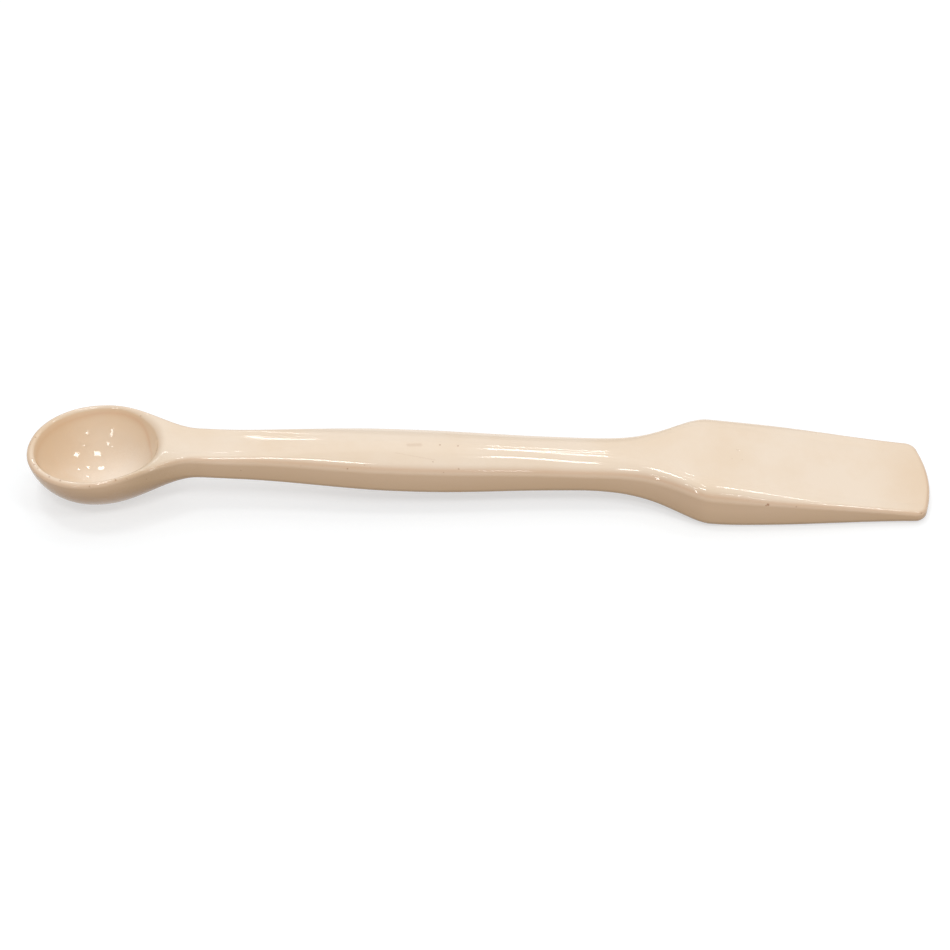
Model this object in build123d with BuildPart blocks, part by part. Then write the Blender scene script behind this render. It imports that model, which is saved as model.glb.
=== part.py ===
"""Porcelain laboratory spatula, with a spoon bowl at one end and a flat blade at the other.

It is one pressed and glazed piece, lying as it rests on a table.
X runs along it from the bowl to the blade, Y across, Z up from the table.
The origin is on the table, halfway along.  Sizes are in millimetres.
"""
from build123d import *
from math import atan2, degrees, radians, tan
import os

# Whole
LENGTH = 200.0
TIP_X = LENGTH / 2

# Bowl: a round-bottomed egg under a rim that climbs towards the handle
BOWL_X = -85.0            # widest place
BOWL_NOSE = 15.0          # from the widest place to the rounded end
BOWL_HALF_WIDTH = 12.9
BOWL_DEPTH = 12.7         # from the table to the widest level
BOWL_HALF_FLAT = 0.2      # narrow flat under the bowl
RIM_HEIGHT = 13.8         # at the widest place
RIM_SLOPE = 0.1
RIM_LEAN = (1 + RIM_SLOPE**2) ** 0.5  # a rounding square to the sloping rim is this much taller
HOLLOW_X = -84.2
HOLLOW_HALF_LENGTH = 13.2
HOLLOW_HALF_WIDTH = 10.7
HOLLOW_FLOOR = 2.3
HOLLOW_TOP = 13.0         # where the hollow is widest

# Seen from above: half widths, and where the width changes
NECK_HALF_WIDTH = 5.25
BELLY_HALF_WIDTH = 6.7
WAIST_HALF_WIDTH = 5.9
SHOULDER_HALF_WIDTH = 12.5
END_HALF_WIDTH = 11.3
FLARE = (BOWL_X, -62.0)
SWELLING = (-52.0, -20.0)
SLIMMING = (-14.0, 16.0)
SHOULDER = (22.0, 51.0)
TAPER = (60.0, 96.0)

# Seen from the side: slopes of the top edge line, and the underside's height over the table
HANDLE_FALL = 0.047
WAIST_FALL = 0.012
WEDGE_FALL = 0.135
NECK_DIP = 0.5
NECK_CLEARANCE = 7.9
BELLY_CLEARANCE = 4.1
CREST = (-73.0, 9.0)      # middle and reach of each bend
WAIST_BEND = (26.0, 8.0)
WEDGE_BEND = (47.5, 5.0)
NECK_BEND = (-60.0, 6.0)
BELLY_BEND = (-9.0, 14.0)
NECK_RUN = (-76.0, -52.0)
BOWL_RUN = (BOWL_X, -60.0)
HEEL_RUN = (27.0, 59.0)
EDGE_GROWTH = (-76.0, -50.0)  # where the edge rounding grows, and where it shrinks again
EDGE_FALL = (50.0, 70.0)
SOLE_TRIM = 0.05          # ground off the lowest places, so that it sits flat

# Roof of the handle, a soft ridge that opens into the blade's flat panel
NECK_PANEL_HALF_WIDTH = 3.0
RIDGE_HALF_WIDTH = 0.9
BLADE_PANEL_HALF_WIDTH = 9.2
NARROWED_PANEL_HALF_WIDTH = 8.5
RIDGE_RISE = 2.2          # over the side edges
WAIST_RISE = 1.7
END_RISE = 0.15
RIDGE_RUN = (-68.0, -20.0)
RIDGE_FALL_RUN = (0.0, 30.0)
PANEL_RUN = (24.0, 51.0)
NARROWING = (54.0, 72.0)
WEDGE_RUN = (46.0, 94.0)

# Roundings
LIP_RADIUS = 1.0          # outer edge of the bowl and of the blade's end
HANDLE_EDGE_RADIUS = 1.9  # outer edge of the handle
SOLE_RADIUS = 1.7         # between the underside and the sides, along the handle
TIP_SOLE_RADIUS = 1.0
MOUTH_RADIUS = 1.0
CREASE = 0.75             # how far each crease is softened, to each side
STRIPS = 4                # short arcs that make up each rounding

# Blade tip, seen from above
TIP_ARC_RADIUS = 32.0
TIP_CORNER_RADIUS = 3.8
TIP_TOP_RADIUS = 1.0
TIP_UNDER_RADIUS = 0.6
TIP_FORM_X = 91.0
TIP_CLEARANCE = 0.1       # the trimming form stands this clear of the blade's own faces

# Construction
STATIONS = 47
OVERRUN = 3.0             # the body is drawn out past the tip, then trimmed
TALL = 20.0               # higher than the whole spatula
JOIN_TOLERANCE = 0.002    # the bowl's end and the body meet at one section, within this


def ease(x, run, lean=1.0):
    """Soft step from 0 to 1 over a run of X, which rises late where lean is above 1."""
    start, end = run
    t = min(max((x - start) / (end - start), 0.0), 1.0) ** lean
    return t * t * (3 - 2 * t)


def bend(x, middle, reach):
    """Zero before a bend, a slope of 1 after it, and a parabola within its reach."""
    if x < middle - reach:
        return 0.0
    if x > middle + reach:
        return x - middle
    return (x - middle + reach) ** 2 / (4 * reach)


def half_width(x):
    """Plan outline: bowl, neck, belly, waist, shoulder and tapering blade."""
    return (
        BOWL_HALF_WIDTH
        + (NECK_HALF_WIDTH - BOWL_HALF_WIDTH) * ease(x, FLARE, 1.15)
        + (BELLY_HALF_WIDTH - NECK_HALF_WIDTH) * ease(x, SWELLING)
        + (WAIST_HALF_WIDTH - BELLY_HALF_WIDTH) * ease(x, SLIMMING)
        + (SHOULDER_HALF_WIDTH - WAIST_HALF_WIDTH) * ease(x, SHOULDER, 2)
        + (END_HALF_WIDTH - SHOULDER_HALF_WIDTH) * ease(x, TAPER)
    )


def edge_height(x):
    """Line where the sides meet the top."""
    return (
        RIM_HEIGHT
        + RIM_SLOPE * (x - BOWL_X)
        - (RIM_SLOPE + HANDLE_FALL) * bend(x, *CREST)
        - NECK_DIP * ease(x, NECK_RUN)
        + (HANDLE_FALL - WAIST_FALL) * bend(x, *WAIST_BEND)
        - (WEDGE_FALL - WAIST_FALL) * bend(x, *WEDGE_BEND)
    )


def underside_height(x):
    """Lowest line of the body, which arches over the table between bowl and blade."""
    belly_fall = (NECK_CLEARANCE - BELLY_CLEARANCE) / (BELLY_BEND[0] - NECK_BEND[0])
    return (
        NECK_CLEARANCE * ease(x, BOWL_RUN, 1.05)
        - belly_fall * (bend(x, *NECK_BEND) - bend(x, *BELLY_BEND))
        - BELLY_CLEARANCE * ease(x, HEEL_RUN, 0.95)
        - SOLE_TRIM
    )


def roof_height(x):
    """Height of the ridge or panel."""
    return (
        edge_height(x)
        + RIDGE_RISE * ease(x, RIDGE_RUN)
        + (WAIST_RISE - RIDGE_RISE) * ease(x, RIDGE_FALL_RUN)
        + (END_RISE - WAIST_RISE) * ease(x, WEDGE_RUN)
    )


def panel_half_width(x):
    """Half width of the ridge or panel on top."""
    return (
        NECK_PANEL_HALF_WIDTH
        + (RIDGE_HALF_WIDTH - NECK_PANEL_HALF_WIDTH) * ease(x, RIDGE_RUN)
        + (BLADE_PANEL_HALF_WIDTH - RIDGE_HALF_WIDTH) * ease(x, PANEL_RUN, 1.35)
        + (NARROWED_PANEL_HALF_WIDTH - BLADE_PANEL_HALF_WIDTH) * ease(x, NARROWING)
    )


def sole_rounding(x):
    """Width and height of the rounding from the underside to the side, half an ellipse at the bowl."""
    to_handle = ease(x, BOWL_RUN)
    to_tip = (TIP_SOLE_RADIUS - SOLE_RADIUS) * ease(x, TAPER)
    across = BOWL_HALF_WIDTH - BOWL_HALF_FLAT
    across += (SOLE_RADIUS - across) * to_handle + to_tip
    return across, BOWL_DEPTH + (SOLE_RADIUS - BOWL_DEPTH) * to_handle + to_tip


def edge_rounding(x):
    """Radius of the edge between the sides and the top, largest along the handle."""
    return LIP_RADIUS + (HANDLE_EDGE_RADIUS - LIP_RADIUS) * (ease(x, EDGE_GROWTH) - ease(x, EDGE_FALL))


def short_arcs(center, across, up, start, turn):
    """Rounding from the angle start through the angle turn, drawn as short arcs."""
    step = turn / STRIPS
    return [
        EllipticalCenterArc(center, across, up, start_angle=start + strip * step, arc_size=step)
        for strip in range(STRIPS)
    ]


def soft_crease(before, crease, after):
    """Control points of a curve that softens the crease between two straight runs."""
    before, crease, after = Vector(*before), Vector(*crease), Vector(*after)
    start = crease + (before - crease).normalized() * CREASE
    end = crease + (after - crease).normalized() * CREASE
    return start, crease, end


def cross_section(x):
    """Outline of the body across Y and Z: rounded sole, upright sides, rounded edges and the roof."""
    side, edge, low = half_width(x), edge_height(x), underside_height(x)
    panel, roof = panel_half_width(x), roof_height(x)
    across, up = sole_rounding(x)
    radius = edge_rounding(x)
    turn = 90 - degrees(atan2(roof - edge, side - panel))
    shoulder = edge - radius * RIM_LEAN * tan(radians(turn / 2))
    right = soft_crease((side, edge), (panel, roof), (-panel, roof))
    left = soft_crease((panel, roof), (-panel, roof), (-side, edge))
    Line((across - side, low), (side - across, low))
    short_arcs((side - across, low + up), across, up, -90, 90)
    Line((side, low + up), (side, shoulder))
    edge_arcs = short_arcs((side - radius, shoulder), radius, radius * RIM_LEAN, 0, turn)
    Line(edge_arcs[-1] @ 1, right[0])
    Bezier(*right)
    Line(right[2], left[0])
    Bezier(*left)
    edge_arcs = short_arcs((radius - side, shoulder), radius, radius * RIM_LEAN, 180 - turn, turn)
    Line(left[2], edge_arcs[0] @ 0)
    Line((-side, shoulder), (-side, low + up))
    short_arcs((across - side, low + up), across, up, 180, 90)


# Body, drawn through cross sections from the widest place of the bowl to beyond the blade's tip
with BuildPart() as body:
    for station in range(STATIONS + 1):
        station_x = BOWL_X + (TIP_X + OVERRUN - BOWL_X) * station / STATIONS
        with BuildSketch(Plane.YZ.offset(station_x)):
            with BuildLine():
                cross_section(station_x)
            make_face()
    loft()

# Rounded end of the bowl: its half section turned about the upright, then drawn out lengthwise
rim_plane = Plane(origin=(BOWL_X, 0, RIM_HEIGHT), z_dir=(-RIM_SLOPE, 0, 1))
with BuildPart() as bowl_end:
    with BuildSketch(Plane.YZ.offset(BOWL_X)):
        with BuildLine():
            end_across, end_up = sole_rounding(BOWL_X)
            widest = end_up - SOLE_TRIM
            Polyline(
                (BOWL_HALF_FLAT, -SOLE_TRIM),
                (0, -SOLE_TRIM),
                (0, TALL),
                (BOWL_HALF_WIDTH, TALL),
                (BOWL_HALF_WIDTH, widest),
            )
            short_arcs((BOWL_HALF_FLAT, widest), end_across, end_up, -90, 90)
        make_face()
    revolve(axis=Axis((BOWL_X, 0, 0), (0, 0, 1)), revolution_arc=180)
    scale(by=(BOWL_NOSE / BOWL_HALF_WIDTH, 1, 1), about=(BOWL_X, 0, 0))
    split(bisect_by=rim_plane, keep=Keep.BOTTOM)
    rim = faces().sort_by(Axis.Z)[-1]
    fillet(rim.edges().filter_by(lambda edge: (edge @ 0.5).X < BOWL_X - 1), LIP_RADIUS)

# Hollow of the bowl: half an ellipsoid under an upright throat
with BuildPart() as hollow:
    with BuildSketch(Plane.YZ.offset(HOLLOW_X)):
        with BuildLine():
            Polyline(
                (0, HOLLOW_FLOOR),
                (0, TALL),
                (HOLLOW_HALF_WIDTH, TALL),
                (HOLLOW_HALF_WIDTH, HOLLOW_TOP),
            )
            short_arcs((0, HOLLOW_TOP), HOLLOW_HALF_WIDTH, HOLLOW_TOP - HOLLOW_FLOOR, -90, 90)
        make_face()
    revolve(axis=Axis((HOLLOW_X, 0, 0), (0, 0, 1)))
    scale(by=(HOLLOW_HALF_LENGTH / HOLLOW_HALF_WIDTH, 1, 1), about=(HOLLOW_X, 0, 0))

# What the blade's tip is trimmed to: a shallow arc with rounded corners and softened edges
tip_side = END_HALF_WIDTH + TIP_CLEARANCE
corner_x = TIP_X - TIP_ARC_RADIUS + (TIP_ARC_RADIUS**2 - tip_side**2) ** 0.5
tip_roof = Plane(origin=(TIP_X, 0, roof_height(TIP_X) + TIP_CLEARANCE), z_dir=(WEDGE_FALL, 0, 1))
with BuildPart() as trimming_form:
    with BuildSketch(Plane.XY.offset(-TIP_CLEARANCE)):
        with BuildLine():
            Polyline(
                (corner_x, tip_side),
                (TIP_FORM_X, tip_side),
                (TIP_FORM_X, -tip_side),
                (corner_x, -tip_side),
            )
            ThreePointArc((corner_x, -tip_side), (TIP_X, 0), (corner_x, tip_side))
        make_face()
        fillet(vertices().group_by(Axis.X)[-1], TIP_CORNER_RADIUS)
    extrude(amount=TALL)
    split(bisect_by=tip_roof, keep=Keep.BOTTOM)
    top, under = faces().sort_by(Axis.Z)[-1], faces().sort_by(Axis.Z)[0]
    for face, radius in ((top, TIP_TOP_RADIUS), (under, TIP_UNDER_RADIUS)):
        rear = face.edges().sort_by(Axis.X)[0]
        fillet(face.edges().filter_by(lambda edge: edge != rear), radius)
    with Locations((TIP_FORM_X + TIP_CORNER_RADIUS, 0, 0)):
        Box(LENGTH, 3 * TALL, 3 * TALL, align=(Align.MAX, Align.CENTER, Align.CENTER))


def on_mouth(edge):
    """Whether an edge lies where the hollow meets the top."""
    middle = edge @ 0.5
    along = (middle.X - HOLLOW_X) / HOLLOW_HALF_LENGTH
    across = middle.Y / HOLLOW_HALF_WIDTH
    return abs(along**2 + across**2 - 1) < 0.02 and abs(middle.Z - edge_height(middle.X)) < 0.1


# The whole spatula: joined, tip trimmed, sole ground flat and the bowl hollowed
outer_form = body.part.fuse(bowl_end.part, tol=JOIN_TOLERANCE)
with BuildPart() as spatula:
    add(outer_form)
    add(trimming_form.part, mode=Mode.INTERSECT)
    split(bisect_by=Plane.XY, keep=Keep.TOP)
    add(hollow.part, mode=Mode.SUBTRACT)
    fillet(edges().filter_by(on_mouth), MOUTH_RADIUS)

spatula.part.label = "spatula_body"
os.makedirs("parts", exist_ok=True)
export_step(spatula.part, "parts/spatula_body.step")
size = spatula.part.bounding_box().size
print(f"spatula_body: {size.X:.1f} x {size.Y:.1f} x {size.Z:.1f} mm, {spatula.part.volume / 1000:.1f} cm3")
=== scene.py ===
# %% [markdown]
# # A glazed porcelain laboratory spatula
#
# The spatula is one piece of pressed porcelain under a clear, cream-coloured gloss glaze: an
# egg-shaped spoon bowl, a handle with a soft ridge, and a flat blade that thins to its tip.
# The imported CAD model is the frame. It says where everything is and how large it is,
# so it is loaded first. It says where everything is and how large it may be.

# %% Load the imported frame
import math

import bpy
import numpy as np
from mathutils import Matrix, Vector


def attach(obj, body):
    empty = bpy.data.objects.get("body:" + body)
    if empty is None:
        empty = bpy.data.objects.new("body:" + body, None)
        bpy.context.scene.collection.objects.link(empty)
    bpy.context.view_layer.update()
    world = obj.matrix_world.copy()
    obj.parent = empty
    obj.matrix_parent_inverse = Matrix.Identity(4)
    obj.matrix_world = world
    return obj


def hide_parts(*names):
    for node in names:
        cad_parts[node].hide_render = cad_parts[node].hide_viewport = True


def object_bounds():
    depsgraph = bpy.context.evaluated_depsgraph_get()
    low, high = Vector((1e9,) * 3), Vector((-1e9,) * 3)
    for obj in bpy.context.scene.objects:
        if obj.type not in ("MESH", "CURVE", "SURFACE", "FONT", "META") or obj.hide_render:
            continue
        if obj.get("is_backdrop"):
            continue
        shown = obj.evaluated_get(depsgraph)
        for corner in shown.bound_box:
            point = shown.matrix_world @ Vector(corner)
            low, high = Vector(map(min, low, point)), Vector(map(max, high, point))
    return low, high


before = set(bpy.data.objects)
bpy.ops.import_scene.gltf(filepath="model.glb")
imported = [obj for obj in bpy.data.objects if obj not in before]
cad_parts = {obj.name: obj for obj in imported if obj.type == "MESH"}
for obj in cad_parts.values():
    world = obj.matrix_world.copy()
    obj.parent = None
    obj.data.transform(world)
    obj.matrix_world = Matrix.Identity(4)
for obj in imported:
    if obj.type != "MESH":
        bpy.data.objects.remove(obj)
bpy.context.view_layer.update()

# %% [markdown]
# ## The sizes of the spatula
#
# A presser works from a few drawings: the outline from above, the outline from the side, and the
# shape of the cross section. All of them are numbers that change along the length, so they are
# kept as heights and half widths in millimetres, and as the stretches of X over which one goes
# over into the next. X runs from the bowl to the blade, Y across, and Z up from the table.
# The numbers that a designer would want to turn are named inputs of the modifier. A stretch is
# its start, its end and, where it isn't even, how late it rises. A bend is its middle and reach.

# %% Sizes in millimetres
SIZES = {
    "Bowl Half Width": 12.87,
    "Bowl Nose": 14.95,
    "Bowl Depth": 13.5,
    "Hollow Top": 16.5,
    "Rim Height": 14.05,
    "Hollow Half Length": 14.3,
    "Hollow Half Width": 11.85,
    "Hollow Floor": 2.3,
    "Neck Half Width": 5.25,
    "Belly Half Width": 6.7,
    "Waist Half Width": 5.9,
    "Shoulder Half Width": 12.5,
    "Blade End Half Width": 11.3,
    "Neck Clearance": 7.9,
    "Belly Clearance": 4.1,
    "Ridge Rise": 2.2,
    "Waist Rise": 1.7,
    "Blade End Rise": 0.15,
    "Neck Panel": 3.0,
    "Ridge Panel": 0.9,
    "Facet Crown": 0.32,
    "Blade Panel": 9.2,
    "Narrowed Panel": 8.5,
    "Lip Rounding": 0.95,
    "Edge Rounding": 1.45,
    "Sole Rounding": 1.7,
    "Crease Softness": 0.9,
    "Neck Softness": 2.2,
    "Mouth Lip": 0.5,
    "Mouth Run-out": 1.5,
    "Tip Arc": 30.0,
    "Tip Skew": 0.9,
    "Tip Corner": 1.9,
    "Waviness": 0.03,
}
BOWL_X = -85.0
HOLLOW_X = -84.6
TIP_X = 99.9
RIM_SLOPE = 0.1
HANDLE_FALL = 0.047
WAIST_FALL = 0.012
WEDGE_FALL = 0.135
NECK_DIP = 0.5
SOLE_TRIM = 0.05
TABLE_GAP = 0.005
MM = 0.001
STRETCH = {
    "bowl draws in to the neck": (BOWL_X, -62.0, 1.15),
    "neck swells to the belly": (-52.0, -20.0),
    "belly narrows to the waist": (-14.0, 16.0),
    "waist flares to the shoulder": (22.0, 51.0, 2.0),
    "blade narrows to its end": (60.0, 96.0),
    "neck dips": (-76.0, -52.0),
    "underside leaves the table": (BOWL_X, -60.0, 1.05),
    "underside comes down to the sole": (22.0, 58.0, 0.95),
    "ridge rises": (-68.0, -20.0),
    "ridge sinks to the waist": (0.0, 30.0),
    "ridge fades into the blade": (46.0, 94.0),
    "ridge opens to the panel": (24.0, 51.0, 1.35),
    "panel narrows": (54.0, 72.0),
    "round bottom turns to a handle": (BOWL_X, -60.0),
    "lip turns to an edge": (-76.0, -50.0),
    "edge turns to the blade's": (50.0, 70.0),
    "mouth runs out": (-80.0, -70.0),
    "crease hardens": (-66.0, -22.0),
}
BEND = {
    "rim to handle": (-73.0, 9.0),
    "handle to waist": (26.0, 8.0),
    "waist to wedge": (47.5, 5.0),
    "underside starts to fall": (-66.0, 6.0),
    "underside levels out": (-9.0, 14.0),
}
print("the modifier gets", len(SIZES), "named sizes, over", len(STRETCH), "stretches of X")

# %% [markdown]
# ## Formulas as nodes
#
# Geometry Nodes can hold any formula, but a long one is slow to wire by hand and hard to read.
# A Wire is a value on its way through a node tree. Adding or multiplying two wires places a
# Math node, so a formula in this script reads as it would on paper and still becomes nodes.

# %% A wire that places its own Math nodes
class Wire:
    """One value in a node tree. Arithmetic on it adds Math nodes to the same tree."""

    def __init__(self, tree, socket):
        self.tree, self.socket = tree, socket

    def calc(self, operation, *values):
        """A new Math node, fed with wires or numbers."""
        node = self.tree.nodes.new("ShaderNodeMath")
        node.operation = operation
        return self.feed(node, *values)

    def feed(self, node, *values):
        """Fills a node's inputs in order and gives its first output."""
        for socket, value in zip(node.inputs, values):
            if isinstance(value, Wire):
                self.tree.links.new(value.socket, socket)
            else:
                socket.default_value = value
        return Wire(self.tree, node.outputs[0])

    def __add__(self, other):
        return self.calc("ADD", self, other)

    def __radd__(self, other):
        return self.calc("ADD", other, self)

    def __sub__(self, other):
        return self.calc("SUBTRACT", self, other)

    def __rsub__(self, other):
        return self.calc("SUBTRACT", other, self)

    def __mul__(self, other):
        return self.calc("MULTIPLY", self, other)

    def __rmul__(self, other):
        return self.calc("MULTIPLY", other, self)

    def __truediv__(self, other):
        return self.calc("DIVIDE", self, other)

    def __pow__(self, other):
        return self.calc("POWER", self, other)

    def __neg__(self):
        return self.calc("MULTIPLY", self, -1.0)


def larger(a, b):
    """The larger of a wire and another wire or number."""
    return a.calc("MAXIMUM", a, b)


def smaller(a, b):
    """The smaller of a wire and another wire or number."""
    return a.calc("MINIMUM", a, b)


def length(*sides):
    """Square root of the sum of the squares."""
    total = sides[0] * sides[0]
    for side in sides[1:]:
        total = total + side * side
    return total.calc("SQRT", total)


# %% [markdown]
# ## Steps, bends and rounded corners
#
# Three small rules give the whole form. A soft step carries a width from one value to the next,
# a bend turns one slope into another, and a rounded corner joins two faces with a true arc.
# The last one works on distances: where two faces meet, the distance to the solid is the larger
# of the two distances, and near the corner it is measured from the centre of an arc instead.

# %% Soft step, bend and rounded corner
def step(x, start, end, lean=1.0):
    """Soft step from 0 to 1, which rises late where lean is above 1."""
    node = x.tree.nodes.new("ShaderNodeMapRange")
    node.interpolation_type = "SMOOTHSTEP" if lean == 1.0 else "LINEAR"
    t = x.feed(node, x, start, end)
    if lean == 1.0:
        return t
    t = t ** lean
    return t * t * (3.0 - 2.0 * t)


def bend(x, middle, reach):
    """Zero before a bend, a slope of 1 after it, and a parabola within its reach."""
    inside = smaller(larger(x - (middle - reach), 0.0), 2.0 * reach)
    return inside * inside * (1.0 / (4.0 * reach)) + larger(x - (middle + reach), 0.0)


def rounded_corner(a, b, radius):
    """Distance to where faces a and b both bound the solid, with an arc along their edge."""
    arc = length(larger(a + radius, 0.0), larger(b + radius, 0.0))
    return smaller(larger(a, b), -radius) + arc


# %% [markdown]
# ## The drawings along the length
#
# This node group is the set of drawings. It takes a place along X and gives the half width, the
# height of the side edge, of the underside and of the ridge, the half width of the panel on top,
# and how large the roundings are there. Each line is a start value plus a few soft steps. The
# two arcs of the bowl's bottom stop a hair short of its middle, where a narrow keel stays flat.

# %% Node group: drawings along the length
def new_group(name, inputs, outputs):
    """A geometry node group with its sockets, its output node and a lookup of its inputs."""
    tree = bpy.data.node_groups.new(name, "GeometryNodeTree")
    for socket_name, kind, value in inputs:
        socket = tree.interface.new_socket(name=socket_name, in_out="INPUT", socket_type=kind)
        if value is not None:
            socket.default_value = value
    for socket_name, kind in outputs:
        tree.interface.new_socket(name=socket_name, in_out="OUTPUT", socket_type=kind)
    start = tree.nodes.new("NodeGroupInput")
    wires = {socket_name: Wire(tree, start.outputs[socket_name]) for socket_name, _, _ in inputs}
    return tree, wires, tree.nodes.new("NodeGroupOutput")


def place_group(tree, group, wires):
    """Puts a group into a tree, feeds its inputs by name and gives its outputs by name."""
    node = tree.nodes.new("GeometryNodeGroup")
    node.node_tree = group
    for name, wire in wires.items():
        if name in node.inputs:
            tree.links.new(wire.socket, node.inputs[name])
    return {output.name: Wire(tree, output) for output in node.outputs}


KEEL = 0.2
FLOAT, VECTOR, GEOMETRY = "NodeSocketFloat", "NodeSocketVector", "NodeSocketGeometry"
SIZE_INPUTS = [(name, FLOAT, value) for name, value in SIZES.items()]
DRAWN = ["Half Width", "Edge Height", "Underside", "Roof", "Panel", "Across", "Up", "Rounding",
         "Mouth Rounding", "Crease"]

drawings, s, drawings_out = new_group(
    "Spatula drawings", [("X", FLOAT, 0.0)] + SIZE_INPUTS, [(name, FLOAT) for name in DRAWN])
x = s["X"]
drawn = {}
drawn["Half Width"] = (
    s["Bowl Half Width"]
    + (s["Neck Half Width"] - s["Bowl Half Width"])
    * step(x, *STRETCH["bowl draws in to the neck"])
    + (s["Belly Half Width"] - s["Neck Half Width"])
    * step(x, *STRETCH["neck swells to the belly"])
    + (s["Waist Half Width"] - s["Belly Half Width"])
    * step(x, *STRETCH["belly narrows to the waist"])
    + (s["Shoulder Half Width"] - s["Waist Half Width"])
    * step(x, *STRETCH["waist flares to the shoulder"])
    + (s["Blade End Half Width"] - s["Shoulder Half Width"])
    * step(x, *STRETCH["blade narrows to its end"])
)
drawn["Edge Height"] = (
    s["Rim Height"] + (x - BOWL_X) * RIM_SLOPE
    - bend(x, *BEND["rim to handle"]) * (RIM_SLOPE + HANDLE_FALL)
    - step(x, *STRETCH["neck dips"]) * NECK_DIP
    + bend(x, *BEND["handle to waist"]) * (HANDLE_FALL - WAIST_FALL)
    - bend(x, *BEND["waist to wedge"]) * (WEDGE_FALL - WAIST_FALL)
)
falling_length = BEND["underside levels out"][0] - BEND["underside starts to fall"][0]
belly_fall = (s["Neck Clearance"] - s["Belly Clearance"]) * (1.0 / falling_length)
drawn["Underside"] = (
    s["Neck Clearance"] * step(x, *STRETCH["underside leaves the table"])
    - belly_fall
    * (bend(x, *BEND["underside starts to fall"]) - bend(x, *BEND["underside levels out"]))
    - s["Belly Clearance"] * step(x, *STRETCH["underside comes down to the sole"])
    - SOLE_TRIM
)
drawn["Roof"] = (
    drawn["Edge Height"]
    + s["Ridge Rise"] * step(x, *STRETCH["ridge rises"])
    + (s["Waist Rise"] - s["Ridge Rise"]) * step(x, *STRETCH["ridge sinks to the waist"])
    + (s["Blade End Rise"] - s["Waist Rise"]) * step(x, *STRETCH["ridge fades into the blade"])
)
drawn["Panel"] = (
    s["Neck Panel"]
    + (s["Ridge Panel"] - s["Neck Panel"]) * step(x, *STRETCH["ridge rises"])
    + (s["Blade Panel"] - s["Ridge Panel"]) * step(x, *STRETCH["ridge opens to the panel"])
    + (s["Narrowed Panel"] - s["Blade Panel"]) * step(x, *STRETCH["panel narrows"])
)
to_handle = step(x, *STRETCH["round bottom turns to a handle"])
bowl_across = s["Bowl Half Width"] - KEEL
drawn["Across"] = bowl_across + (s["Sole Rounding"] - bowl_across) * to_handle
drawn["Up"] = s["Bowl Depth"] + (s["Sole Rounding"] - s["Bowl Depth"]) * to_handle
drawn["Rounding"] = (
    s["Lip Rounding"]
    + (s["Edge Rounding"] - s["Lip Rounding"]) * step(x, *STRETCH["lip turns to an edge"])
    - (s["Edge Rounding"] - s["Lip Rounding"]) * step(x, *STRETCH["edge turns to the blade's"])
)
mouth_growth = s["Mouth Run-out"] - s["Mouth Lip"]
drawn["Mouth Rounding"] = s["Mouth Lip"] + step(x, *STRETCH["mouth runs out"]) * mouth_growth
still_soft = 1.0 - step(x, *STRETCH["crease hardens"])
drawn["Crease"] = s["Crease Softness"] + still_soft * s["Neck Softness"]
for name in DRAWN:
    drawings.links.new(drawn[name].socket, drawings_out.inputs[name])
print("drawings use", len(drawings.nodes), "nodes")

# %% [markdown]
# ## The distance to the glaze
#
# A spatula has no straight edge to start a mesh from: the bowl's rim flows into the handle, and
# every edge is rounded by the glaze. Instead of joining patches, this group answers one question
# for any place in space: how far is it to the glaze, counted as negative inside. The sides, the
# sole, the roof and the tip each bound the solid, rounded corners join them, and the hollow of
# the bowl is taken away the same way. It also says how near a place is to a rounded edge, where
# the glaze runs thin in the kiln and the body shows through, and how low it lies on its side,
# which the finish darkens there as painted shade.

# %% Node group: distance to the glaze
RIPPLE_SCALE = 0.07
EDGE_BAND = 1.7
MOUTH_EDGE = 0.45
LOW_BAND = 5.5
distance, s, distance_out = new_group(
    "Distance to the glaze", [("Position", VECTOR, None)] + SIZE_INPUTS,
    [("Distance", FLOAT), ("Edge", FLOAT), ("Low", FLOAT)])
axes = distance.nodes.new("ShaderNodeSeparateXYZ")
distance.links.new(s["Position"].socket, axes.inputs[0])
x, y, z = (Wire(distance, axis) for axis in axes.outputs)
d = place_group(distance, drawings, {**s, "X": x})

ripple = distance.nodes.new("ShaderNodeTexNoise")
ripple.inputs["Scale"].default_value = RIPPLE_SCALE
ripple.inputs["Detail"].default_value = 1.0
distance.links.new(s["Position"].socket, ripple.inputs["Vector"])
ripple_height = (Wire(distance, ripple.outputs["Fac"]) - 0.5) * s["Waviness"] * 2.0

nose_x = smaller(x - BOWL_X, 0.0) * s["Bowl Half Width"] / s["Bowl Nose"]
beyond_side = length(nose_x, y) - d["Half Width"]
beyond_tip = length(larger(x - (TIP_X - SIZES["Tip Arc"]), 0.0), y + s["Tip Skew"]) - s["Tip Arc"]
beyond_outline = rounded_corner(beyond_side, beyond_tip, s["Tip Corner"])

sole_across = larger(beyond_outline + d["Across"], 0.0) / d["Across"]
sole_up = larger(d["Underside"] + d["Up"] - z, 0.0) / d["Up"]
beyond_sole = (length(sole_across, sole_up) - 1.0) * d["Across"]

from_middle = y.calc("ABSOLUTE", y)
slope = (d["Roof"] - d["Edge Height"]) / (d["Half Width"] - d["Panel"])
facet_width = d["Half Width"] - d["Panel"]
from_edge = smaller(larger(d["Half Width"] - from_middle, 0.0), facet_width) / facet_width
facet = d["Edge Height"] + (d["Half Width"] - from_middle) * slope
facet = facet + from_edge * (1.0 - from_edge) * 4.0 * s["Facet Crown"]
roof_node = distance.nodes.new("ShaderNodeMath")
roof_node.operation = "SMOOTH_MIN"
roof = x.feed(roof_node, facet, d["Roof"], d["Crease"])
above_roof = z - roof
outside = rounded_corner(beyond_sole, above_roof, d["Rounding"])

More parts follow.
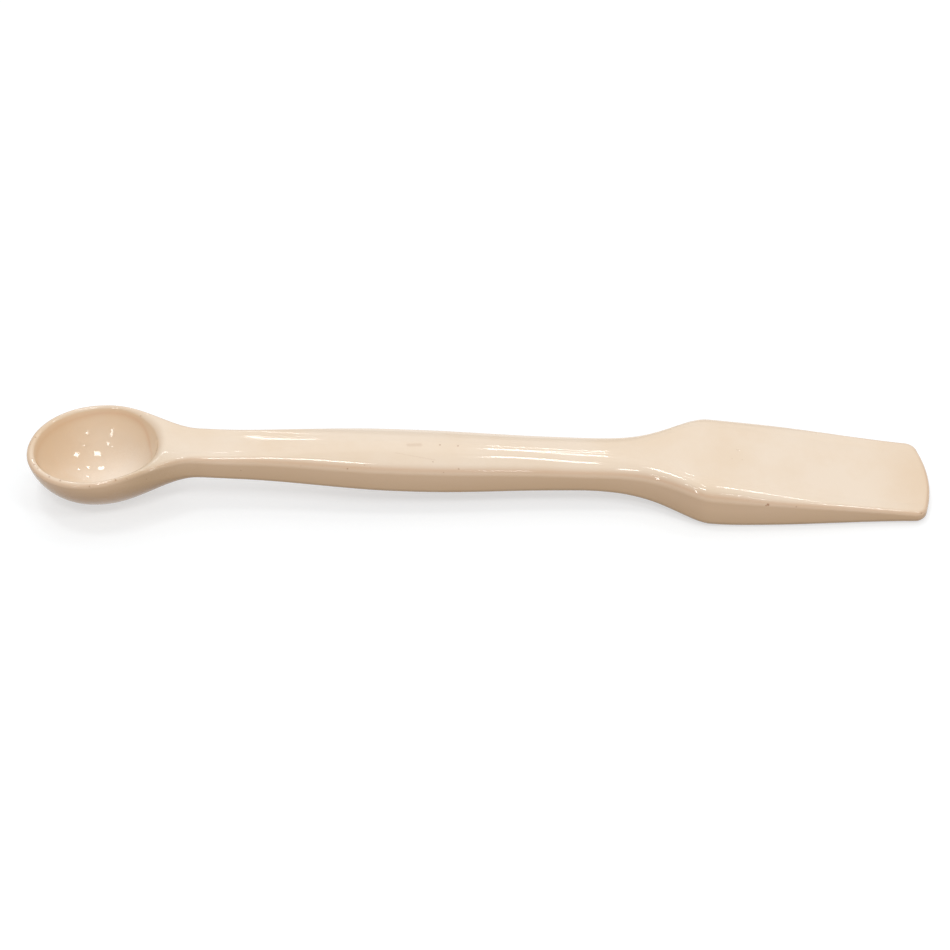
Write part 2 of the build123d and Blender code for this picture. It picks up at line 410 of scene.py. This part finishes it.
into_hollow = length(
    (x - HOLLOW_X) / s["Hollow Half Length"],
    y / s["Hollow Half Width"],
    larger(s["Hollow Top"] - z, 0.0) / (s["Hollow Top"] - s["Hollow Floor"]),
)
inside_hollow = -(into_hollow - 1.0) * s["Hollow Half Width"]
whole = rounded_corner(outside, inside_hollow, d["Mouth Rounding"]) + ripple_height
whole = larger(whole, TABLE_GAP - z)

from_top_edge = beyond_sole - above_roof
from_mouth = outside - inside_hollow
top_edge = 1.0 - from_top_edge.calc("ABSOLUTE", from_top_edge) / EDGE_BAND
mouth_edge = 1.0 - from_mouth.calc("ABSOLUTE", from_mouth) / EDGE_BAND
edge = larger(larger(top_edge, mouth_edge * MOUTH_EDGE), 0.0)
low_down = smaller(larger(1.0 - (z - d["Underside"]) / LOW_BAND, 0.0), 1.0)
for name, wire in (("Distance", whole), ("Edge", edge), ("Low", low_down)):
    distance.links.new(wire.socket, distance_out.inputs[name])
print("distance uses", len(distance.nodes), "nodes")

# %% [markdown]
# ## Pulling points onto the glaze
#
# A mesh taken from a grid of cells lies close to the surface, but not on it. The distance can be
# measured a little way off in four directions, which gives the direction in which it grows. One
# step along that direction puts a point on the surface, and the direction itself is the true
# normal, which makes reflections in the gloss run smoothly.

# %% Node group: direction in which the distance grows
PROBE = 0.06
PROBES = ((1, 1, 1), (1, -1, -1), (-1, 1, -1), (-1, -1, 1))
growth, s, growth_out = new_group(
    "Growth of the distance", [("Position", VECTOR, None)] + SIZE_INPUTS,
    [("Growth", VECTOR), ("Step", VECTOR)])


def vector_node(tree, operation, *values):
    """A Vector Math node fed with wires or plain values."""
    node = tree.nodes.new("ShaderNodeVectorMath")
    node.operation = operation
    for socket, value in zip(node.inputs, values):
        if isinstance(value, Wire):
            tree.links.new(value.socket, socket)
        else:
            socket.default_value = value
    output = "Value" if operation in ("DOT_PRODUCT", "LENGTH") else "Vector"
    return Wire(tree, node.outputs[output])


def scaled(tree, vector, factor):
    """A vector wire or a plain vector, times a number."""
    node = tree.nodes.new("ShaderNodeVectorMath")
    node.operation = "SCALE"
    if isinstance(vector, Wire):
        tree.links.new(vector.socket, node.inputs[0])
    else:
        node.inputs[0].default_value = vector
    if isinstance(factor, Wire):
        tree.links.new(factor.socket, node.inputs["Scale"])
    else:
        node.inputs["Scale"].default_value = factor
    return Wire(tree, node.outputs["Vector"])


total = None
for probe in PROBES:
    offset = tuple(PROBE * side for side in probe)
    place = vector_node(growth, "ADD", s["Position"], offset)
    there = place_group(growth, distance, {**s, "Position": place})["Distance"]
    share = scaled(growth, tuple(side / (4 * PROBE) for side in probe), there)
    total = share if total is None else vector_node(growth, "ADD", total, share)
here = place_group(growth, distance, s)["Distance"]
steepness = vector_node(growth, "DOT_PRODUCT", total, total)
back = scaled(growth, total, -here / steepness)
growth.links.new(total.socket, growth_out.inputs["Growth"])
growth.links.new(back.socket, growth_out.inputs["Step"])
print("growth asks for the distance", len(PROBES) + 1, "times")

# %% [markdown]
# ## Growing the body
#
# The tree of the body puts it together. Volume Cube fills a box with the distance, Volume to Mesh
# finds the surface where it is zero, and three steps pull every point onto the glaze. The tree
# keeps the true normal as an attribute, and for the finish how near an edge a point is, how low
# it lies and how steep the glaze is there. It scales millimetres to metres at the end. This way
# was chosen over subdivision modelling because a single rule gives the rim, the neck and the
# blade the same flowing edges, with no seams.

# %% Geometry nodes: the body
CELL = 0.36
HALF_LENGTH, HALF_WIDTH, HEIGHT, MARGIN = 100.0, 13.0, 15.0, 1.2
LOW = (-HALF_LENGTH - MARGIN, -HALF_WIDTH - MARGIN, -MARGIN)
HIGH = (HALF_LENGTH + MARGIN, HALF_WIDTH + MARGIN, HEIGHT + MARGIN)
LEVEL = 10.0
PULLS = 3

form, s, form_out = new_group(
    "Spatula body",
    [("Geometry", GEOMETRY, None), ("Cell", FLOAT, CELL), ("Glaze", "NodeSocketMaterial", None)]
    + SIZE_INPUTS,
    [("Geometry", GEOMETRY)])
position = Wire(form, form.nodes.new("GeometryNodeInputPosition").outputs[0])
block = form.nodes.new("GeometryNodeVolumeCube")
field = place_group(form, distance, {**s, "Position": position})["Distance"]
form.links.new((LEVEL - field).socket, block.inputs["Density"])
block.inputs["Min"].default_value = LOW
block.inputs["Max"].default_value = HIGH
for axis, low, high in zip("XYZ", LOW, HIGH):
    cells = s["Cell"].calc("DIVIDE", high - low, s["Cell"])
    form.links.new(cells.socket, block.inputs["Resolution " + axis])
skin = form.nodes.new("GeometryNodeVolumeToMesh")
skin.inputs["Threshold"].default_value = LEVEL
form.links.new(block.outputs[0], skin.inputs["Volume"])

geometry = skin.outputs[0]
for _ in range(PULLS):
    pulled = form.nodes.new("GeometryNodeSetPosition")
    form.links.new(geometry, pulled.inputs["Geometry"])
    nearer = place_group(form, growth, {**s, "Position": position})["Step"]
    form.links.new(nearer.socket, pulled.inputs["Offset"])
    geometry = pulled.outputs[0]


def keep_attribute(tree, geometry, name, wire, kind):
    """Stores a value on the points, for the finish to read."""
    node = tree.nodes.new("GeometryNodeStoreNamedAttribute")
    node.data_type = kind
    node.inputs["Name"].default_value = name
    tree.links.new(geometry, node.inputs["Geometry"])
    tree.links.new(wire.socket, node.inputs["Value"])
    return node.outputs[0]


true_normal = place_group(form, growth, {**s, "Position": position})["Growth"]
on_glaze = place_group(form, distance, {**s, "Position": position})
geometry = keep_attribute(form, geometry, "true_normal", true_normal, "FLOAT_VECTOR")
upright = form.nodes.new("ShaderNodeSeparateXYZ")
form.links.new(true_normal.socket, upright.inputs[0])
steep = 1.0 - Wire(form, upright.outputs["Z"])
geometry = keep_attribute(form, geometry, "edge", on_glaze["Edge"], "FLOAT")
geometry = keep_attribute(form, geometry, "low", on_glaze["Low"], "FLOAT")
geometry = keep_attribute(form, geometry, "steep", steep, "FLOAT")
for kind, settings in (
    ("GeometryNodeTransform", {"Scale": (MM, MM, MM)}),
    ("GeometryNodeSetShadeSmooth", {}),
    ("GeometryNodeRealizeInstances", {}),
    ("GeometryNodeSetMaterial", {}),
):
    node = form.nodes.new(kind)
    for socket_name, value in settings.items():
        node.inputs[socket_name].default_value = value
    form.links.new(geometry, node.inputs[0])
    geometry = node.outputs[0]
form.links.new(s["Glaze"].socket, node.inputs["Material"])
form.links.new(geometry, form_out.inputs["Geometry"])
print("body tree uses", len(form.nodes), "nodes, cells of", CELL, "mm")

# %% [markdown]
# ## The glaze
#
# Porcelain of this kind is fired with a clear gloss over a cream body. The colour isn't even: it
# clouds a little over a few centimetres. The gloss stays sharp all over, with the faintest
# orange peel. Noise that reads Object coordinates gives both, so it needs no UV map.

# %% Shader node group: clouded cream
def shader_group(name, inputs, outputs):
    """A shader node group with its input wires and its output node."""
    tree = bpy.data.node_groups.new(name, "ShaderNodeTree")
    for socket_name, kind, value in inputs:
        socket = tree.interface.new_socket(name=socket_name, in_out="INPUT", socket_type=kind)
        socket.default_value = value
    for socket_name, kind in outputs:
        tree.interface.new_socket(name=socket_name, in_out="OUTPUT", socket_type=kind)
    start = tree.nodes.new("NodeGroupInput")
    wires = {socket_name: Wire(tree, start.outputs[socket_name]) for socket_name, _, _ in inputs}
    return tree, wires, tree.nodes.new("NodeGroupOutput")


def noise(tree, scale, detail=2.0):
    """A noise that reads Object coordinates, as a value of about 0.5."""
    coordinates = tree.nodes.new("ShaderNodeTexCoord")
    node = tree.nodes.new("ShaderNodeTexNoise")
    node.inputs["Detail"].default_value = detail
    tree.links.new(coordinates.outputs["Object"], node.inputs["Vector"])
    if isinstance(scale, Wire):
        tree.links.new(scale.socket, node.inputs["Scale"])
    else:
        node.inputs["Scale"].default_value = scale
    return Wire(tree, node.outputs["Fac"])


def mix_colours(tree, share, first, second):
    """A colour that goes from the first to the second as the share goes from 0 to 1."""
    node = tree.nodes.new("ShaderNodeMix")
    node.data_type = "RGBA"
    colour_a, colour_b = node.inputs[6], node.inputs[7]
    for socket, value in ((node.inputs["Factor"], share), (colour_a, first), (colour_b, second)):
        if isinstance(value, Wire):
            tree.links.new(value.socket, socket)
        else:
            socket.default_value = value
    return Wire(tree, node.outputs[2])


COLOUR = "NodeSocketColor"
CLOUD_START, CLOUD_CONTRAST = 0.38, 3.2
FINE_SCALE, FINE_SHARE = 9.0, 0.5
GLOSS_LOW, GLOSS_SPREAD = 0.05, 0.05
PEEL_SCALE, PEEL_SHARE = 14.0, 0.6
clouds, s, clouds_out = shader_group(
    "Clouded cream",
    [("Body", COLOUR, (0.8, 0.7, 0.6, 1)), ("Warm", COLOUR, (0.7, 0.5, 0.4, 1)),
     ("Cloud Size", FLOAT, 90.0), ("Cloud Strength", FLOAT, 0.3)],
    [("Color", COLOUR), ("Roughness", FLOAT), ("Height", FLOAT)])
cloud = noise(clouds, s["Cloud Size"], 4.0)
fine = noise(clouds, s["Cloud Size"] * FINE_SCALE, 2.0)
clouded = (cloud - CLOUD_START) * CLOUD_CONTRAST + (fine - 0.5) * FINE_SHARE
share = smaller(larger(clouded, 0.0), 1.0) * s["Cloud Strength"]
cream_colour = mix_colours(clouds, share, s["Body"], s["Warm"])
clouds.links.new(cream_colour.socket, clouds_out.inputs["Color"])
clouds.links.new((GLOSS_LOW + fine * GLOSS_SPREAD).socket, clouds_out.inputs["Roughness"])
orange_peel = noise(clouds, s["Cloud Size"] * PEEL_SCALE, 1.0)
height = orange_peel * PEEL_SHARE + fine * (1.0 - PEEL_SHARE)
clouds.links.new(height.socket, clouds_out.inputs["Height"])
print("clouded cream uses", len(clouds.nodes), "nodes")

# %% [markdown]
# ## Specks, a hairline and pits
#
# Grains of iron in the clay burn to brown specks that show through the glaze, and a grain that
# melts out leaves a pit. On this spatula they lie in places of their own, mostly along the rim
# and the front edge, so each one is a small ball in space: where the surface passes through the
# ball, it turns brown. A fine noise pushes the places about, so that no speck is a perfect disc.
# A smear and a hairline on the ridge are made the same way, around a line in place of a point.
# The back and the underside get a few scattered specks of about that size from a Voronoi texture.

# %% Where the specks are, in millimetres: place, radius and strength
SPECKS = [
    ((-75.04, 8.75, 13.79), 0.30, 0.45), ((-98.11, 3.58, 12.20), 0.32, 0.55),
    ((-99.05, 1.43, 12.03), 0.26, 0.45), ((-98.21, -3.10, 12.13), 0.30, 0.50),
    ((-97.50, -5.11, 12.33), 0.34, 0.60), ((-96.64, -6.40, 12.41), 0.28, 0.50),
    ((-93.77, -9.32, 12.73), 0.34, 0.60), ((-91.25, -10.68, 12.93), 0.36, 0.60),
    ((-84.66, -12.69, 13.15), 0.30, 0.50), ((-79.04, -11.50, 13.96), 0.34, 0.65),
    ((-76.66, -10.97, 13.77), 0.26, 0.50), ((-72.70, -9.22, 11.92), 0.26, 0.40),
    ((-52.31, -5.25, 10.71), 0.28, 0.40), ((-43.76, -5.07, 12.82), 0.24, 0.45),
    ((-39.12, -5.46, 12.40), 0.28, 0.50), ((-36.92, -5.14, 13.08), 0.24, 0.40),
    ((-34.40, -5.66, 12.42), 0.26, 0.50), ((-28.82, -6.06, 12.07), 0.34, 0.70),
    ((-25.16, -5.64, 12.74), 0.24, 0.50), ((-23.93, -6.00, 12.26), 0.26, 0.50),
    ((-8.64, -0.46, 13.78), 0.30, 0.60), ((-4.69, -0.57, 13.58), 0.30, 0.65),
    ((-10.15, -4.69, 12.78), 0.24, 0.50), ((-4.50, -5.71, 11.60), 0.32, 0.75),
    ((-7.79, -6.23, 11.10), 0.28, 0.60), ((-4.68, -6.25, 10.74), 0.22, 0.45),
    ((63.11, -12.31, 7.16), 0.46, 0.95), ((62.75, -12.35, 7.0), 0.34, 0.80),
    ((69.38, -12.17, 6.40), 0.26, 0.50), ((55.69, -1.08, 10.22), 0.24, 0.25),
    ((57.96, -1.16, 9.84), 0.24, 0.25), ((97.29, -10.89, 2.89), 0.34, 0.60),
]
SMEAR = ((-15.6, -0.78, 14.06), (-13.0, -0.62, 13.97), 0.70, 0.17)
HAIRLINE = ((-18.49, -2.99, 13.81), (-9.72, -4.28, 12.93), 0.22, 0.11)
PITS = [((97.29, -10.89, 2.89), 0.5, 1.0), ((57.15, 1.78, 9.98), 0.45, 0.6)]
print(len(SPECKS), "specks,", len(PITS), "pits")

# %% [markdown]
# ## The marks as nodes
#
# Every place becomes a mask that is strongest in its middle and fades out at its radius. Where
# two masks meet, the stronger one counts, so specks never add up to a blot. The pits are such
# masks too, and go out as a height for the bump. Masks in space need no unwrapping, and each
# speck keeps its place if the mesh is grown again with finer cells.

# %% Shader node group: specks and pits
SPECK_RAGGED = 0.35
GRAIN_SCALE = 3.0
FULL_SHARE = 0.2
SCATTER_SCALE, SCATTER_RADIUS, SCATTER_LEFT_OUT = 0.25, 0.08, 0.45
BACK_FROM, BACK_TO = 1.5, 2.5
BACK_STEEP = (0.6, 0.8)
UNDER_STEEP = (1.35, 1.5)
marks, s, marks_out = shader_group(
    "Specks and pits",
    [("Steepness", FLOAT, 0.0), ("Speck Strength", FLOAT, 0.85), ("Unseen Strength", FLOAT, 0.45)],
    [("Specks", FLOAT), ("Height", FLOAT)])


def here_in_millimetres(tree, ragged):
    """Object coordinates in millimetres, pushed about by a fine noise."""
    coordinates = tree.nodes.new("ShaderNodeTexCoord")
    place = scaled(tree, Wire(tree, coordinates.outputs["Object"]), 1.0 / MM)
    grain = tree.nodes.new("ShaderNodeTexNoise")
    grain.inputs["Scale"].default_value = GRAIN_SCALE
    grain.inputs["Detail"].default_value = 1.0
    tree.links.new(place.socket, grain.inputs["Vector"])
    push = vector_node(tree, "SUBTRACT", Wire(tree, grain.outputs["Color"]), (0.5, 0.5, 0.5))
    return vector_node(tree, "ADD", place, scaled(tree, push, ragged))


def near_point(tree, here, point, radius, strength):
    """A mask of the given strength around a point, which fades to 0 at the radius."""
    away = vector_node(tree, "SUBTRACT", here, point)
    return fading(vector_node(tree, "LENGTH", away), radius, strength)


def fading(away, radius, strength):
    """Full strength near the middle, which fades softly to 0 at the radius."""
    node = away.tree.nodes.new("ShaderNodeMapRange")
    node.interpolation_type = "SMOOTHSTEP"
    return away.feed(node, away, FULL_SHARE * radius, radius, strength, 0.0)


def near_line(tree, here, start, end, radius, strength):
    """A mask of the given strength around a straight line between two points."""
    along = tuple(b - a for a, b in zip(start, end))
    away = vector_node(tree, "SUBTRACT", here, start)
    share = vector_node(tree, "DOT_PRODUCT", away, along) / sum(side * side for side in along)
    share = smaller(larger(share, 0.0), 1.0)
    nearest = scaled(tree, along, share)
    from_line = vector_node(tree, "SUBTRACT", away, nearest)
    return fading(vector_node(tree, "LENGTH", from_line), radius, strength)


place = here_in_millimetres(marks, SPECK_RAGGED)
brown = larger(near_line(marks, place, *HAIRLINE), near_line(marks, place, *SMEAR))
for point, radius, strength in SPECKS:
    brown = larger(brown, near_point(marks, place, point, radius, strength))
brown = brown * s["Speck Strength"]
scatter = marks.nodes.new("ShaderNodeTexVoronoi")
scatter.inputs["Scale"].default_value = SCATTER_SCALE
marks.links.new(place.socket, scatter.inputs["Vector"])
pick = marks.nodes.new("ShaderNodeSeparateXYZ")
marks.links.new(scatter.outputs["Color"], pick.inputs[0])
across = marks.nodes.new("ShaderNodeSeparateXYZ")
marks.links.new(place.socket, across.inputs[0])
picked = Wire(marks, pick.outputs[0])
chosen = picked.calc("GREATER_THAN", picked, SCATTER_LEFT_OUT)
at_back = step(Wire(marks, across.outputs["Y"]), BACK_FROM, BACK_TO)
at_back = at_back * step(s["Steepness"], *BACK_STEEP)
unseen = larger(at_back, step(s["Steepness"], *UNDER_STEEP))
scattered = fading(Wire(marks, scatter.outputs["Distance"]), SCATTER_RADIUS, 1.0)
scattered = scattered * chosen * unseen
brown = larger(brown, scattered * s["Unseen Strength"])
pit = None
for point, radius, depth in PITS:
    dent = near_point(marks, place, point, radius, depth)
    pit = dent if pit is None else larger(pit, dent)
marks.links.new(brown.socket, marks_out.inputs["Specks"])
marks.links.new((-pit).socket, marks_out.inputs["Height"])
print("specks and pits use", len(marks.nodes), "nodes")

# %% [markdown]
# ## The finish
#
# The material lays colours over one another: the clouded cream, a tan on the steep faces that is
# painted shade, a browner painted shade on the faces that look down and low on the sides, and a
# pinkish tan along the edges where the glaze ran thin. Four regions get a tone that no such rule
# gives, so they are listed one by one: the back of the hollow, in a tan that is painted shade, the
# tip, which is more tan, the front of the hollow, in a paler cream that is painted light, and the
# side where bowl and neck meet, in a brown that is painted shade. The specks come last.
# The gloss stays sharp, so the roughness only breathes a little.

# %% Material: glazed porcelain
CREAM = (0.835, 0.70, 0.56, 1)
WARM_CREAM = (0.80, 0.64, 0.475, 1)
# Painted light: the paler cream on the lit front of the hollow.
LIT_CREAM = (0.96, 0.86, 0.745, 1)
# Painted shade: the tan on the steep sides.
SIDE_SHADE_TAN = (0.755, 0.545, 0.34, 1)
# Painted shade: the brown on the undersides, low on the sides and where bowl and neck meet.
PAINTED_SHADE_BROWN = (0.50, 0.34, 0.165, 1)
# Painted shade at the back of the hollow; the same tan tones the tip.
DEEPER_TAN = (0.71, 0.49, 0.29, 1)
THIN_TAN = (0.68, 0.41, 0.24, 1)
IRON_BROWN = (0.33, 0.125, 0.035, 1)
GLAZE_IOR = 1.5
CLOUD_SIZE, CLOUD_STRENGTH = 60.0, 0.75
STEEP_POWER, STEEP_SHARE = 1.3, 0.62
UNDER_SHADE_STRETCH, UNDER_SHADE_SHARE = (0.9, 1.4), 0.62
LOW_SHADE_STRETCH, LOW_SHADE_SHARE = (0.5, 0.9), 0.50
THIN_POWER, THIN_SHARE = 2.5, 0.45
REGION_RAGGED = 3.0
REGIONS = [
    # The back of the hollow: a tan that is painted shade.
    ((-97.0, 6.0, 8.0), 14.0, 0.52, DEEPER_TAN),
    # The tip: a more tan tone.
    ((108.0, 0.0, 0.0), 27.0, 0.42, DEEPER_TAN),
    # The front of the hollow: a paler cream that is painted light.
    ((-78.5, -3.5, 3.0), 12.5, 0.95, LIT_CREAM),
    # The side where bowl and neck meet: a brown that is painted shade.
    ((-71.0, -11.0, 7.0), 14.0, 0.62, PAINTED_SHADE_BROWN),
]
RELIEF_HEIGHT, RELIEF_STRENGTH = 0.00002, 0.05
DENT_DEPTH = 0.00012
glaze = bpy.data.materials.new("glazed_porcelain")
glaze.use_nodes = True
nodes, links = glaze.node_tree.nodes, glaze.node_tree.links
gloss = nodes["Principled BSDF"]
gloss.inputs["IOR"].default_value = GLAZE_IOR
cream = nodes.new("ShaderNodeGroup")
cream.node_tree = clouds
cream.inputs["Body"].default_value = CREAM
cream.inputs["Warm"].default_value = WARM_CREAM
cream.inputs["Cloud Size"].default_value = CLOUD_SIZE
cream.inputs["Cloud Strength"].default_value = CLOUD_STRENGTH


def attribute(tree, name):
    """A value kept on the points of the mesh."""
    node = tree.nodes.new("ShaderNodeAttribute")
    node.attribute_name = name
    return Wire(tree, node.outputs["Fac"])


finish = glaze.node_tree
steep_here = attribute(finish, "steep")
tone = Wire(finish, cream.outputs["Color"])
# Steep faces: a tan that is painted shade on the sides.
side_shade = smaller(steep_here, 1.0) ** STEEP_POWER * STEEP_SHARE
tone = mix_colours(finish, side_shade, tone, SIDE_SHADE_TAN)
# Faces that look down: a browner painted shade.
below = step(steep_here, *UNDER_SHADE_STRETCH) * UNDER_SHADE_SHARE
tone = mix_colours(finish, below, tone, PAINTED_SHADE_BROWN)
# Low on the sides, near the underside: more of the browner painted shade.
low_shade = attribute(finish, "low") * step(steep_here, *LOW_SHADE_STRETCH) * LOW_SHADE_SHARE
tone = mix_colours(finish, low_shade, tone, PAINTED_SHADE_BROWN)
run_thin = attribute(finish, "edge") ** THIN_POWER * THIN_SHARE
tone = mix_colours(finish, run_thin, tone, THIN_TAN)
place = here_in_millimetres(finish, REGION_RAGGED)
for point, reach, strength, colour in REGIONS:
    tone = mix_colours(finish, near_point(finish, place, point, reach, strength), tone, colour)
specks = nodes.new("ShaderNodeGroup")
specks.node_tree = marks
links.new(steep_here.socket, specks.inputs["Steepness"])
tone = mix_colours(finish, Wire(finish, specks.outputs["Specks"]), tone, IRON_BROWN)
links.new(tone.socket, gloss.inputs["Base Color"])
links.new(cream.outputs["Roughness"], gloss.inputs["Roughness"])
relief = nodes.new("ShaderNodeBump")
relief.inputs["Distance"].default_value = RELIEF_HEIGHT
relief.inputs["Strength"].default_value = RELIEF_STRENGTH
links.new(cream.outputs["Height"], relief.inputs["Height"])
dents = nodes.new("ShaderNodeBump")
dents.inputs["Distance"].default_value = DENT_DEPTH
links.new(specks.outputs["Height"], dents.inputs["Height"])
links.new(relief.outputs["Normal"], dents.inputs["Normal"])
links.new(dents.outputs["Normal"], gloss.inputs["Normal"])
print("finish uses", len(finish.nodes), "nodes and", len(REGIONS), "regions")

# %% [markdown]
# ## One casting
#
# The real spatula comes out of its mould in one piece, and so does this one. The modifier gets
# the sizes, grows the body once, and its result is kept as a plain mesh. The true normals are
# laid on the points, so that the gloss shows the form and not the cells it was grown from.

# %% Grow the body and keep it as a plain mesh
seed_mesh = bpy.data.meshes.new("spatula_seed")
seed = bpy.data.objects.new("spatula_seed", seed_mesh)
bpy.context.scene.collection.objects.link(seed)
grow = seed.modifiers.new("Grow", "NODES")
grow.node_group = form
modifier_values = {**SIZES, "Cell": CELL, "Glaze": glaze}
for item in form.interface.items_tree:
    if item.in_out == "INPUT" and item.name in modifier_values:
        grow[item.identifier] = modifier_values[item.name]
grown = seed.evaluated_get(bpy.context.evaluated_depsgraph_get())
body_mesh = bpy.data.meshes.new_from_object(grown)
bpy.data.objects.remove(seed)
body_mesh.name = "spatula_glazed"
body = bpy.data.objects.new("spatula_glazed", body_mesh)
bpy.context.scene.collection.objects.link(body)

normals = np.zeros(len(body_mesh.vertices) * 3, np.float32)
body_mesh.attributes["true_normal"].data.foreach_get("vector", normals)
normals = normals.reshape(-1, 3)
normals /= np.linalg.norm(normals, axis=1, keepdims=True)
body_mesh.normals_split_custom_set_from_vertices(normals.tolist())
body_mesh.attributes.remove(body_mesh.attributes["true_normal"])
print("body", len(body_mesh.vertices), "points,", len(body_mesh.polygons), "faces")
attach(body, "root")
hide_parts("spatula_body")

# %% [markdown]
# ## The table
#
# The spatula lies on a plain pale table, with a soft shadow under it. The table glows a little
# where the camera or a reflection sees it, so that it comes out white and still keeps the shadow.
# All other rays meet a darker and warmer table. That keeps the light it throws up onto the sides
# and the underside as weak and as brown as it looks on the real one.

# %% Floor
FLOOR = 3.0
TABLE_SHOWN = (0.495, 0.51, 0.52, 1)
TABLE_BOUNCE = (0.34, 0.22, 0.13, 1)
TABLE_SHINE = 0.54
floor_mesh = bpy.data.meshes.new("table")
corners = [(-FLOOR, -FLOOR, 0), (FLOOR, -FLOOR, 0), (FLOOR, FLOOR, 0), (-FLOOR, FLOOR, 0)]
floor_mesh.from_pydata(corners, [], [(0, 1, 2, 3)])
floor = bpy.data.objects.new("table", floor_mesh)
bpy.context.scene.collection.objects.link(floor)
table = bpy.data.materials.new("table")
table.use_nodes = True
nodes, links = table.node_tree.nodes, table.node_tree.links
nodes.clear()
paths = nodes.new("ShaderNodeLightPath")
seen, mirrored, seen_through = (
    Wire(table.node_tree, paths.outputs[name])
    for name in ("Is Camera Ray", "Is Glossy Ray", "Is Transmission Ray"))
shown = larger(larger(seen, mirrored), seen_through)
matt = nodes.new("ShaderNodeBsdfDiffuse")
paper = nodes.new("ShaderNodeMix")
paper.data_type = "RGBA"
paper.inputs[6].default_value = TABLE_BOUNCE
paper.inputs[7].default_value = TABLE_SHOWN
links.new(shown.socket, paper.inputs["Factor"])
links.new(paper.outputs[2], matt.inputs["Color"])
shine = nodes.new("ShaderNodeEmission")
links.new((shown * TABLE_SHINE).socket, shine.inputs["Strength"])
both = nodes.new("ShaderNodeAddShader")
links.new(matt.outputs[0], both.inputs[0])
links.new(shine.outputs[0], both.inputs[1])
surface = nodes.new("ShaderNodeOutputMaterial")
links.new(both.outputs[0], surface.inputs["Surface"])
floor_mesh.materials.append(table)
floor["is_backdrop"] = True
print("table reaches", FLOOR, "m each way")

# %% [markdown]
# ## Light and view
#
# A gloss glaze shows its lamps as small sharp shapes, and these tell the eye how the form curves.
# Small square lamps on a ceiling give the spots in the bowl and the streaks along the handle, a
# few lower ones light the edges, and one large soft lamp at the back fills in. A ceiling lamp is
# given by how far across and along it is for each metre of height, and by its side in metres.
# The camera is the one that fits the photograph's outline: it looks down at 45 degrees from the
# front.

# %% World, lamps and camera
scene = bpy.context.scene
scene.view_settings.view_transform = "Standard"
world = bpy.data.worlds.new("studio")
scene.world = world
world.use_nodes = True
AIR = 0.51
air = world.node_tree.nodes["Background"]
air.inputs["Color"].default_value = (1, 1, 1, 1)
paths = world.node_tree.nodes.new("ShaderNodeLightPath")
seen = Wire(world.node_tree, paths.outputs["Is Camera Ray"])
world.node_tree.links.new((seen * (1.0 - AIR) + AIR).socket, air.inputs["Strength"])


def lamp(name, place, target, width, height, power):
    """A soft rectangular lamp that faces its target."""
    data = bpy.data.lights.new(name, "AREA")
    data.shape = "RECTANGLE"
    data.size, data.size_y = width, height
    data.energy = power
    stand = bpy.data.objects.new(name, data)
    stand.location = place
    stand.rotation_euler = (Vector(target) - Vector(place)).to_track_quat("-Z", "Y").to_euler()
    scene.collection.objects.link(stand)


CEILING = 1.5
PANEL_GLOW = 50.0
LOW_GLOW = 0.8
LOW_AIM = (-0.08, 0, 0.01)
PANELS = [
    (-0.21, 0.13, 0.23), (0.63, -0.38, 0.31), (-0.10, -0.54, 0.31),
    (0.14, 0.12, 0.11), (0.42, 0.34, 0.12), (0.14, 0.66, 0.11), (-0.42, 1.40, 0.13),
    (0.48, -1.00, 0.12), (-0.75, -0.95, 0.12),
]
LOW_PANELS = [
    ((-0.62, -1.10, 0.34), 0.05, 0.40), ((0.22, -1.24, 0.46), 0.09, 0.10),
    ((0.86, -0.96, 0.24), 0.06, 0.16), ((-0.52, -0.92, 0.80), 0.08, 0.12),
    ((-0.34, 1.22, 0.78), 0.40, 0.035),
]
SOFT_BACK = ((0.15, 1.1, 1.2), (0.02, 0, 0), 2.2, 1.6, 5.5)
for number, (across, along, side) in enumerate(PANELS):
    place = Vector((across, along, 1.0)) * CEILING
    below = place - Vector((0, 0, 1))
    lamp(f"ceiling_{number}", place, below, side, side, PANEL_GLOW * side * side)
for number, (place, width, height) in enumerate(LOW_PANELS):
    power = PANEL_GLOW * LOW_GLOW * width * height
    lamp(f"low_{number}", place, LOW_AIM, width, height, power)
lamp("soft_back", *SOFT_BACK)

FOCAL_PX = 3278.0
FRAME_PX = 950
PX_PER_MM = 4.505
SENSOR = 36.0
DISTANCE = FOCAL_PX / PX_PER_MM * MM
TARGET = Vector((-0.95 * MM, 0.0, 4.0 * MM))
TILT = math.radians(45)
camera_data = bpy.data.cameras.new("camera")
camera_data.sensor_fit = "HORIZONTAL"
camera_data.sensor_width = SENSOR
camera_data.lens = SENSOR * FOCAL_PX / FRAME_PX
camera = bpy.data.objects.new("camera", camera_data)
camera.location = TARGET + DISTANCE * Vector((0, -math.cos(TILT), math.sin(TILT)))
camera.rotation_euler = (math.radians(90) - TILT, 0, 0)
scene.collection.objects.link(camera)
scene.camera = camera
print(len(PANELS) + len(LOW_PANELS) + 1, "lamps, camera", round(DISTANCE, 3), "m away")

# %% [markdown]
# ## Measured once more
#
# The finished model's box is printed, in millimetres.

# %% The finished model's box
low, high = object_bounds()
print("visual box, mm", [round(1000 * value, 2) for value in (*low, *high)])
